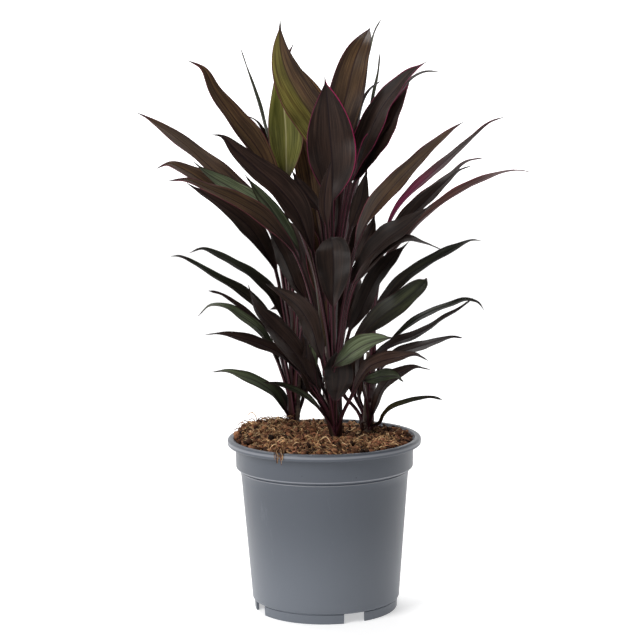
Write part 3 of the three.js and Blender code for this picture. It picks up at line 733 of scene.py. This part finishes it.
def build_pot(finish):
    def wall_at(z):
        return mix(BODY_FOOT_RADIUS, BODY_TOP_RADIUS, (z - BODY_FOOT) / (COLLAR_FOOT - BODY_FOOT))

    foot = FOOT_RING_HEIGHT
    hollow = FOOT_RING_RADIUS - FOOT_RING_WALL
    floor = foot + WALL
    under = POT_HEIGHT - RIM_DROP
    lip = RIM_RADIUS - RIM_LIP
    step = POT_HEIGHT - RIM_LIP
    roll = RIM_RADIUS - RIM_ROLL + RIM_INNER_ROUND
    inside = COLLAR_RADIUS - WALL
    collar = (COLLAR_RADIUS - COLLAR_ROUND, COLLAR_FOOT + COLLAR_ROUND - EDGE)
    profile = [
        (0, foot),
        (hollow - EDGE, foot),
        (hollow, foot - EDGE),
        (hollow, EDGE),
        (hollow + EDGE, 0),
        *arc((FOOT_RING_RADIUS - 2 * EDGE, EDGE), EDGE, -90, 0, 3),
        (FOOT_RING_RADIUS, foot - EDGE),
        (FOOT_RING_RADIUS - EDGE, foot),
        *arc((BODY_FOOT_RADIUS - 2.6, foot + 2.9), 2.6, -75, -8),
        (wall_at(BODY_FOOT + 1), BODY_FOOT + 1),
        *[(wall_at(z), z) for z in range(20, COLLAR_FOOT - 5, 10)],
        *[(BODY_TOP_RADIUS + out, COLLAR_FOOT - down) for out, down in RIDGE],
        (BODY_TOP_RADIUS + EDGE, COLLAR_FOOT - 1.2),
        *arc(collar, COLLAR_ROUND, -75, 0),
        (COLLAR_RADIUS + 0.2, POT_HEIGHT - 12),
        (COLLAR_RADIUS + EDGE, POT_HEIGHT - 2 * RIM_LIP),
        (COLLAR_RADIUS + 2 * EDGE, step),
        (lip - EDGE, step),
        (lip, step - EDGE),
        (lip + 0.3, under + 0.4),
        (lip + 1, under),
        (RIM_RADIUS - 0.9, under),
        (RIM_RADIUS - 0.3, under + 0.5),
        (RIM_RADIUS - 0.1, under + 1.6),
        *arc((RIM_RADIUS - RIM_ROUND, POT_HEIGHT - RIM_ROUND), RIM_ROUND, 0, 90, 7),
        *arc((roll, POT_HEIGHT - RIM_INNER_ROUND), RIM_INNER_ROUND, 90, 180),
        (inside, POT_HEIGHT - RIM_FLARE - EDGE),
        (inside, COLLAR_FOOT + 4),
        (BODY_TOP_RADIUS - WALL, COLLAR_FOOT),
        (wall_at(floor + 4) - WALL, floor + 4),
        (wall_at(floor) - WALL - 3, floor),
        (0, floor),
    ]
    points, faces = lathe(profile, POT_SIDES)
    made = piece("nursery_pot", points, faces, [finish], ["pot"])
    for k in range(NOTCHES):
        angle = math.radians(FIRST_NOTCH_DEG + k * 360 / NOTCHES)
        turned = Matrix.Rotation(angle, 4, "Z")
        bpy.ops.mesh.primitive_cube_add(size=1)
        notch = bpy.context.object
        across = (4 * FOOT_RING_WALL * MM, NOTCH_WIDTH * MM, 2 * FOOT_RING_HEIGHT * MM, 1)
        place = Matrix.Translation((FOOT_RING_RADIUS * MM, 0, 0))
        notch.data.transform(turned @ place @ Matrix.Diagonal(across))
        cut_away(made, notch)
        bpy.ops.mesh.primitive_cylinder_add(
            vertices=DRAIN_SIDES, radius=DRAIN_RADIUS * MM, depth=6 * WALL * MM)
        drain = bpy.context.object
        place = Matrix.Translation((DRAIN_RING_RADIUS * MM, 0, FOOT_RING_HEIGHT * MM))
        drain.data.transform(turned @ place)
        cut_away(made, drain)
    made.data.set_sharp_from_angle(angle=math.radians(SHARP_DEG))


def soil_height(x, y):
    away = (x - MOUND_AT[0]) ** 2 + (y - MOUND_AT[1]) ** 2
    mound = math.exp(-away / (2 * MOUND_SPREAD ** 2))
    lumps = noise.fractal(Vector((x, y, 0)) / LUMP_SPACING, 0.9, 2.1, 4)
    return SOIL_LEVEL + SOIL_MOUND * mound + SOIL_RELIEF * lumps


def soil_spot(chance, edge):
    """A random place on the soil, up to a distance from the axis."""
    radius = edge * math.sqrt(chance.random())
    return polar(radius, chance.uniform(0, TURN))


def shaded(x, y):
    """How much darker the soil is painted close round a stem: painted shade."""
    nearest = min(math.hypot(x - cane["x"], y - cane["y"]) for cane in CANES.values())
    return mix(HOLE_SHADE, 1, float(ease(nearest / HOLE_REACH)))


class Heap:
    """Many small bodies gathered into one mesh, each with its own tint."""

    def __init__(self):
        self.points = []
        self.faces = []
        self.tints = []

    def add(self, points, faces, tint):
        base = len(self.points)
        self.points.extend(points)
        self.faces.extend(tuple(base + k for k in face) for face in faces)
        self.tints.extend([(*tint, 1)] * len(points))

    def piece(self, name, finish, slot, replaces=()):
        return piece(name, self.points, self.faces, [finish], replaces, {"tint": self.tints})


def lump(chance, size, flat, centre, turned):
    """A rough ball of 20 faces."""
    g = (1 + 5 ** 0.5) / 2
    corners = [(-1, g, 0), (1, g, 0), (-1, -g, 0), (1, -g, 0), (0, -1, g), (0, 1, g)]
    corners += [(0, -1, -g), (0, 1, -g), (g, 0, -1), (g, 0, 1), (-g, 0, -1), (-g, 0, 1)]
    faces = [(0, 11, 5), (0, 5, 1), (0, 1, 7), (0, 7, 10), (0, 10, 11), (1, 5, 9), (5, 11, 4)]
    faces += [(11, 10, 2), (10, 7, 6), (7, 1, 8), (3, 9, 4), (3, 4, 2), (3, 2, 6), (3, 6, 8)]
    faces += [(3, 8, 9), (4, 9, 5), (2, 4, 11), (6, 2, 10), (8, 6, 7), (9, 8, 1)]
    points = []
    for corner in corners:
        rough = Vector(corner).normalized() * size * chance.uniform(0.6, 1.2)
        rough = Vector((rough.x, rough.y * 0.8, rough.z * flat))
        points.append(tuple(turned @ rough + centre))
    return points, faces


def tube_faces(rows, columns, base=0):
    """The faces of a body through closed rings of points, with both ends closed."""
    faces = []
    for row in range(rows - 1):
        a = base + row * columns
        for k in range(columns):
            after = (k + 1) % columns
            faces.append((a + k, a + after, a + columns + after, a + columns + k))
    faces.append(tuple(base + k for k in reversed(range(columns))))
    faces.append(tuple(base + (rows - 1) * columns + k for k in range(columns)))
    return faces


def strand(path, radius, sides=3):
    """A thin tapered fibre along a path."""
    points = []
    last = len(path) - 1
    for k, spot in enumerate(path):
        along = (path[min(k + 1, last)] - path[max(k - 1, 0)]).normalized()
        side = along.orthogonal().normalized()
        other = along.cross(side)
        thick = radius * (0.35 + 0.65 * math.sin(math.pi * (0.15 + 0.7 * k / last)))
        for angle in full_turn(sides):
            out = side * math.cos(angle) + other * math.sin(angle)
            points.append(tuple(spot + out * thick))
    return points, tube_faces(len(path), sides)


def soil_bed():
    """The mounded top of the soil, its side along the wall and its flat underside."""
    angles = full_turn(SOIL_SECTORS)
    points = []
    for radius in np.linspace(SOIL_EDGE, 0, SOIL_RINGS, endpoint=False):
        for angle in angles:
            x, y = polar(radius, angle)
            points.append((x, y, soil_height(x, y)))
    points.append((0, 0, soil_height(0, 0)))
    skirt = len(points)
    lower = SOIL_LEVEL - SOIL_DEPTH
    points += [polar(SOIL_EDGE, angle, lower) for angle in angles]
    points.append((0, 0, lower))
    faces = []
    for k in range(SOIL_SECTORS):
        after = (k + 1) % SOIL_SECTORS
        for row in range(SOIL_RINGS - 1):
            a = row * SOIL_SECTORS
            faces.append((a + k, a + after, a + SOIL_SECTORS + after, a + SOIL_SECTORS + k))
        a = (SOIL_RINGS - 1) * SOIL_SECTORS
        faces.append((a + k, a + after, skirt - 1))
        faces.append((skirt + k, skirt + after, after, k))
        faces.append((skirt + after, skirt + k, len(points) - 1))
    return points, faces


def scatter_crumbs(bed, chance):
    for _ in range(CRUMBS):
        x, y = soil_spot(chance, SOIL_EDGE + 2)
        size = CRUMB_LEAST + CRUMB_MORE * chance.random() ** 2.2
        centre = Vector((x, y, soil_height(x, y) + size * chance.uniform(-0.1, 0.8)))
        turned = Euler([chance.uniform(0, ANY_TURN) for _ in range(3)]).to_matrix()
        # The crumbs carry painted shade close round the stems
        tint = colour(chance.choice(PEAT)) * chance.uniform(0.4, 1.5) * shaded(x, y)
        bed.add(*lump(chance, size, chance.uniform(0.45, 0.9), centre, turned), tint)


def scatter_flakes(bed, chance):
    for _ in range(FLAKES):
        x, y = soil_spot(chance, SOIL_EDGE - 6)
        size = chance.uniform(*FLAKE_SIZES)
        centre = Vector((x, y, soil_height(x, y) + 1.2))
        tilt = (chance.uniform(-0.5, 0.5), chance.uniform(-0.5, 0.5), chance.uniform(0, ANY_TURN))
        tint = colour(chance.choice(BARK)) * chance.uniform(0.8, 1.2)
        bed.add(*lump(chance, size, 0.32, centre, Euler(tilt).to_matrix()), tint)


def lay_fibres(coir, chance):
    """Fibres that lie on the soil, inside the pot's wall."""
    edge = SOIL_EDGE - 1
    for _ in range(FIBRES):
        x, y = soil_spot(chance, SOIL_EDGE - 4)
        length = FIBRE_LEAST + FIBRE_MORE * chance.random() ** 1.7
        heading = chance.uniform(0, TURN)
        bend = chance.uniform(-1.4, 1.4)
        lift = max(0, chance.uniform(-0.3, 0.9) * length * 0.35)
        path = []
        for k in range(STRAND_STEPS + 1):
            t = k / STRAND_STEPS
            east, north = polar(length * (t - 0.5), heading + bend * t)
            px = x + east
            py = y + north
            reach = math.hypot(px, py)
            if reach > edge:
                px *= edge / reach
                py *= edge / reach
            height = soil_height(px, py) + 1.4 + lift * t * t + chance.uniform(-0.3, 0.6)
            path.append(Vector((px, py, height)))
        tint = colour(chance.choice(COIR)) * chance.uniform(0.4, 1.4)
        # The fibres carry painted shade close round the stems
        coir.add(*strand(path, chance.uniform(0.2, 0.8)), tint * shaded(x, y))


def raise_wisps(coir, chance):
    """Arched fibres that stand up in nests."""
    for _ in range(WISPS):
        nest_x, nest_y, spread = chance.choice(NESTS)
        x = chance.gauss(nest_x, spread)
        y = chance.gauss(nest_y, spread)
        shrink = min(1, (SOIL_EDGE - 8) / math.hypot(x, y))
        spot = Vector((x * shrink, y * shrink, soil_height(x * shrink, y * shrink)))
        length = chance.uniform(*WISP_LENGTHS)
        heading = chance.uniform(0, TURN)
        rise = chance.uniform(0.05, 0.6) * length
        path = []
        for k in range(STRAND_STEPS + 1):
            t = k / STRAND_STEPS
            up = rise * math.sin(math.pi * 0.8 * t) + 0.5
            path.append(spot + Vector(polar(length * t * 0.8, heading + t * 0.5, up)))
        shade = PALE_WISP_SHADE if spread < PALE_NEST else WISP_SHADE
        tint = colour(chance.choice(COIR + BARK)) * chance.uniform(0.8, 1.2) * shade
        coir.add(*strand(path, chance.uniform(0.25, 0.65)), tint)


def spill_fibres(coir, chance):
    """A few strands that hang over the front of the rim."""
    for _ in range(SPILL_FIBRES):
        x = SPILL_X + chance.gauss(0, SPILL_SPREAD)
        drop = chance.uniform(*SPILL_DROP)
        path = []
        for k, (radius, height) in enumerate(SPILL_PATH):
            hang = drop if k == len(SPILL_PATH) - 1 else 0
            px = x + chance.uniform(-1.5, 1.5)
            up = height - hang + chance.uniform(0, 0.8)
            path.append(Vector((px, -math.sqrt(radius ** 2 - px ** 2), up)))
        tint = colour(chance.choice(BARK + COIR)) * chance.uniform(0.7, 1.1)
        coir.add(*strand(path, chance.uniform(0.25, 0.6)), tint)


def build_soil(finish, fibre_finish):
    chance = random.Random(SOIL_SEED)
    bed = Heap()
    bed.add(*soil_bed(), colour(SOIL_TINT))
    scatter_crumbs(bed, chance)
    scatter_flakes(bed, chance)
    bed.piece("potting_mix", finish, "potting_soil", ["soil"])
    coir = Heap()
    lay_fibres(coir, chance)
    raise_wisps(coir, chance)
    spill_fibres(coir, chance)
    coir.piece("coir_fibres", fibre_finish, "potting_soil")


def smooth_line(points, steps=400):
    """Even steps along a centripetal Catmull-Rom curve, and the curve's length."""
    points = np.asarray(points, float)
    ends = [2 * points[0] - points[1], *points, 2 * points[-1] - points[-2]]
    spots = []
    for k in range(len(points) - 1):
        p0, p1, p2, p3 = ends[k:k + 4]
        gaps = [max(np.linalg.norm(b - a) ** 0.5, 1e-4) for a, b in ((p0, p1), (p1, p2), (p2, p3))]
        t0, t1, t2 = gaps
        m1 = ((p1 - p0) / t0 - (p2 - p0) / (t0 + t1) + (p2 - p1) / t1) * t1
        m2 = ((p2 - p1) / t1 - (p3 - p1) / (t1 + t2) + (p3 - p2) / t2) * t1
        for w in np.linspace(0, 1, steps // (len(points) - 1), endpoint=False):
            cubic = (2 * p1 - 2 * p2 + m1 + m2) * w ** 3 + (3 * p2 - 3 * p1 - 2 * m1 - m2) * w ** 2
            spots.append(cubic + m1 * w + p1)
    spots.append(points[-1])
    spots = np.array(spots)
    run = np.concatenate([[0], np.cumsum(np.linalg.norm(np.diff(spots, axis=0), axis=1))])
    even = np.linspace(0, run[-1], steps)
    line = np.stack([np.interp(even, run, spots[:, i]) for i in range(3)], axis=1)
    return line, run[-1]


def cane_at(cane, z):
    grown = max(0, (z - POT_HEIGHT - LEAN_FROM) / (cane["top"] - POT_HEIGHT))
    return np.array([cane["x"] + cane["lean"][0] * grown, cane["y"] + cane["lean"][1] * grown, z])


def shown_at(point):
    scale = EYE[1] / (EYE[1] - point[1])
    return EYE[0] + (point[0] - EYE[0]) * scale, EYE[2] + (point[2] - EYE[2]) * scale


def placed(across, up, depth):
    scale = 1 - depth / EYE[1]
    return np.array([EYE[0] + (across - EYE[0]) * scale, depth, EYE[2] + (up - EYE[2]) * scale])


def midrib_of(cane, foot, depth, swing, shown):
    """The middle of a listed leaf, from its foot in the cane to its tip, and its neck's share."""
    start = cane_at(cane, foot)
    across, up = shown_at(start)
    heel = (mix(across, shown[0][0], HEEL_ACROSS), mix(up, shown[0][1], HEEL_UP))
    route = [(across, up), heel, *shown]
    steps = [math.dist(a[:2], b[:2]) for a, b in zip(route, route[1:])]
    points = []
    for k, (across, up, *further) in enumerate(route):
        t = sum(steps[:k]) / sum(steps)
        back = mix(start[1], depth, t) + swing * 4 * t * (1 - t) + sum(further)
        points.append(placed(across, up, back))
    spans = [np.linalg.norm(b - a) for a, b in zip(points, points[1:])]
    return points, sum(spans[:2]) / sum(spans)


def far_midrib(n):
    share = n / FAR_LEAVES
    foot = cane_at(CANES["back"], mix(*FAR_FEET, share))
    heading = math.radians((golden_share(n) * 2 - 1) * FAR_SPREAD_DEG)
    out = np.array([math.sin(heading), math.cos(heading), 0])
    size = mix(*FAR_SIZES, golden_share(2 * n + 1))
    reach = size * mix(*FAR_REACH, share)
    rise = size * mix(*FAR_RISE, share)
    path = [foot + out * reach * away + np.array([0, 0, rise * high]) for away, high in FAR_ARC]
    return path, FAR_NECK


def lance(share, widest):
    """How wide the blade is at a share of its length, as a share of its greatest width."""
    v = np.clip(share / (1 - THREAD), 0, 1)
    taper = BASE_SWELL * (1 - widest) / widest
    return (v / widest) ** BASE_SWELL * ((1 - v) / (1 - widest)) ** taper


def unit(vectors):
    return vectors / np.linalg.norm(vectors, axis=-1, keepdims=True)


class Stem:
    """The points, faces and attributes of one leafy stem."""

    def __init__(self):
        self.points = []
        self.faces = []
        self.face_slots = []
        self.values = {key: [] for key in ("margin", "rib", "under", "grain")}
        self.tints = {key: [] for key in ("blade_tint", "streak_tint", "rib_tint", "margin_tint")}
        self.count = 0

    def loops(self, rings, slot, values, tints):
        """A closed body through rings of points, rows by columns by 3."""
        rows, columns = rings.shape[:2]
        faces = tube_faces(rows, columns, self.count)
        self.points.append(rings.reshape(-1, 3))
        self.faces += faces
        self.face_slots += [slot] * len(faces)
        self.count += rows * columns
        for key, grid in values.items():
            self.values[key].append(grid.reshape(rows * columns, *grid.shape[2:]))
        for key, shades in tints.items():
            grid = np.broadcast_to(shades, (rows, columns, 3)).reshape(-1, 3)
            self.tints[key].append(np.concatenate([grid, np.ones((len(grid), 1))], axis=1))

    def piece(self, name, finishes, slot, node):
        parts = {**self.values, **self.tints}
        attributes = {key: np.concatenate(grids) for key, grids in parts.items()}
        points = np.concatenate(self.points)
        return piece(name, points, self.faces, finishes, [node], attributes, self.face_slots)


def leaf_tints(tone, u, v, flared, withered):
    """The tints at every row and column of a leaf. Its blade is lighter in the middle."""
    neck_tone, tip_tone, edge, *right_tone = tone
    toward_tip = ease(v * 1.5)[:, None, None]
    stalk = (1 - flared)[:, None, None]
    dry = withered[:, None, None]
    rightward = ease(u * 4 + 0.5)[None, :, None]
    tints = {}
    for k, key in enumerate(("blade_tint", "streak_tint", "rib_tint")):
        grid = mix(colour(TONES[neck_tone][k]), colour(TONES[tip_tone][k]), toward_tip)
        if right_tone:
            grid = mix(grid, colour(TONES[right_tone[0]][k]), rightward)
        grid = mix(grid, colour(STALK[k]), stalk * STALK_SHARE)
        tints[key] = mix(grid, colour(WITHERED), dry) + 0 * u[None, :, None]
    core = (1 - ease(abs(u) * 1.2))[None, :, None]
    tints["blade_tint"] = mix(tints["blade_tint"], tints["streak_tint"], core * CORE_SHARE)
    left, right = (colour(shade) for shade in EDGES[edge])
    margin = mix(mix(left, right, rightward), colour(STALK_EDGE), stalk * STALK_SHARE)
    tints["margin_tint"] = mix(margin, colour(WITHERED), dry)
    return tints


def grow_leaf(stem, points, neck, width, turn_neck, turn_tip, n, tone, widest=WIDEST_AT):
    """One leaf: a sheath that clasps the cane, a channelled petiole and a folded, waved blade."""
    chance = random.Random(LEAF_SEED + n)
    line, length = smooth_line(points)
    petiole = np.linspace(0, neck, PETIOLE_STEPS, endpoint=False)
    spread = (1 - np.cos(np.pi * np.arange(BLADE_STEPS + 1) / BLADE_STEPS)) / 2
    s = np.concatenate([petiole, mix(neck, 1, spread)])
    even = np.linspace(0, 1, len(line))
    centre = np.stack([np.interp(s, even, line[:, i]) for i in range(3)], axis=1)
    slope = np.gradient(line, axis=0)
    along = unit(np.stack([np.interp(s, even, slope[:, i]) for i in range(3)], axis=1))
    v = np.clip((s - neck) / (1 - neck), 0, 1)

    viewer = np.array([0.0, -1.0, 0.0])
    facing = unit(viewer - (along @ viewer)[:, None] * along)
    inward = -1 if points[-1][0] > points[0][0] else 1
    across = np.cross(along, facing) * inward
    before = mix(90, turn_neck, ease(s / neck))
    turn = np.where(s < neck, before, mix(turn_neck, turn_tip, v))
    twist = chance.uniform(-TWIST_DEG, TWIST_DEG)
    turn = np.radians(turn + twist * np.sin(TURN * (v * 1.3 + chance.random())) * v)
    normal = facing * np.cos(turn)[:, None] + across * np.sin(turn)[:, None]
    side = np.cross(along, normal)

    flared = ease(v * FLARE)
    sheath = 1 - ease(s / (SHEATH * neck))
    withered = ease((v - WITHERED_FROM) / (1 - WITHERED_FROM))
    least = np.where(v < 0.5, PETIOLE_WIDTH, mix(WITHERED_WIDTH, TIP_WIDTH, withered))
    half = np.maximum(least, width * lance(v, widest)) / 2
    half = mix(half, SHEATH_WIDTH / 2, sheath)
    fold = np.where(v > 0, mix(NECK_FOLD_DEG, BLADE_FOLD_DEG, ease(v * OPENING)), 0)
    fold = np.where(v > 0, fold, mix(PETIOLE_FOLD_DEG, NECK_FOLD_DEG, s / neck))
    fold = np.radians(mix(fold, SHEATH_FOLD_DEG, sheath))

    right = np.array(SECTION)
    u = np.concatenate([-right[::-1], right[1:]])
    ripples = chance.uniform(*RIPPLES)
    lifts = []
    for sign in (-1, 1):
        swell = np.sin(np.pi * v) ** 0.5
        slow = np.sin(TURN * (WAVES * v + golden_share(3 * n + sign)))
        quick = np.sin(TURN * (ripples * v + chance.random()))
        lifts.append(WAVE_HEIGHT * width * swell * slow + RIPPLE_HEIGHT * width * swell * quick)
    lift = np.where(u[None] < 0, lifts[0][:, None], lifts[1][:, None])
    out = np.abs(u)[None]
    lateral = u[None] * (half * np.cos(fold))[:, None]
    bend = 1.25 + 0.5 * sheath[:, None]
    height = -(half * np.sin(fold))[:, None] * (1 - out ** bend) + lift * out ** 2
    from_rib = np.abs(lateral)
    fade = ((1 - v) ** 0.6 * flared)[:, None]
    groove, keel = (deep * np.exp(-(from_rib / wide) ** 2) * fade for deep, wide in (GROOVE, KEEL))
    blade_thick = mix(RIB_HALF_THICK, MARGIN_HALF_THICK, out)
    petiole_thick = PETIOLE_HALF_THICK * (1 - 0.6 * out ** 2) * (1 - 0.45 * sheath[:, None])
    thick = mix(petiole_thick, blade_thick, flared[:, None]) * np.minimum(1, half / 1.2)[:, None]

    def surface(offset):
        flat = centre[:, None] + side[:, None] * lateral[..., None]
        return flat + normal[:, None] * (height + offset)[..., None]

    top = surface(thick - groove)
    below = surface(-thick - keel)[:, ::-1]
    rings = np.concatenate([top, below], axis=1)
    margin = (1 - out) * half[:, None]
    run = s[:, None] * length + 0 * out
    veined = u[None] * width / 2 - np.sign(u[None]) * VEIN_SLANT * run
    grain = np.stack([veined + 0 * run, run, np.full(run.shape, 37.3 * n)], axis=-1)

    def both(grid):
        return np.concatenate([grid, grid[:, ::-1]], axis=1)

    columns = len(u)
    under = np.concatenate([np.zeros((len(s), columns)), np.ones((len(s), columns))], axis=1)
    values = {"margin": both(margin), "rib": both(from_rib), "under": under, "grain": both(grain)}
    shade = chance.uniform(*LEAF_SHADES)
    tints = leaf_tints(tone, u, v, flared, withered)
    stem.loops(rings, 0, values, {key: both(grid * shade) for key, grid in tints.items()})


def grow_cane(stem, cane):
    """The woody cane with the ring scars of fallen leaves."""
    heights = np.arange(CANE_FOOT, cane["top"], CANE_STEP)
    angle = TURN * np.arange(CANE_SIDES) / CANE_SIDES
    rings = []
    for z in heights:
        share = max(0, (z - POT_HEIGHT) / (cane["top"] - POT_HEIGHT))
        scar = SCAR_HEIGHT * math.exp(-((z % CANE_RING_STEP) - 1.5) ** 2 / 0.6)
        radius = mix(CANE_RADIUS, CANE_TIP_RADIUS, share) + scar + 0.12 * np.sin(3 * angle + z)
        middle = cane_at(cane, z)
        x = middle[0] + radius * np.cos(angle)
        y = middle[1] + radius * np.sin(angle)
        rings.append(np.stack([x, y, np.full(CANE_SIDES, z)], axis=1))
    rings = np.array(rings)
    blank = np.zeros(rings.shape[:2])
    values = {"margin": blank, "rib": blank, "under": blank, "grain": rings}
    tints = {key: np.zeros(3) for key in stem.tints}
    stem.loops(rings, 1, values, tints)


def build_plant():
    finishes = [leaf_finish(), cane_finish()]
    for cane_name, cane in CANES.items():
        stem = Stem()
        grow_cane(stem, cane)
        leaves = cane["leaves"].split()
        for n, (name, foot, depth, width, turn_neck, turn_tip, *shown) in enumerate(LEAVES):
            if name in leaves:
                points, neck = midrib_of(cane, foot, depth, SWINGS.get(name, 0), shown)
                tone = LEAF_TONES.get(name, PLAIN_LEAF)
                widest = BLUNT_LEAVES.get(name, WIDEST_AT)
                grow_leaf(stem, points, neck, width, turn_neck, turn_tip, n, tone, widest)
        if cane_name == "back":
            for n in range(FAR_LEAVES):
                turn = (golden_share(5 * n + 1) * 2 - 1) * FAR_TURN_DEG
                points, neck = far_midrib(n)
                tone = BROWN_LEAF if n % 3 == 1 else PLAIN_LEAF
                grow_leaf(stem, points, neck, FAR_WIDTH, turn, turn / 2, len(LEAVES) + n, tone)
        stem.piece(f"foliage_{cane_name}", finishes, "leaves", f"stem_{cane_name}")


picture()
studio()
build_pot(pot_finish())
build_soil(soil_finish("potting_mix", 1.0), soil_finish("coir", 0.3))
build_plant()


def corners(box):
    return [[round(float(c), 5) for c in corner] for corner in box]
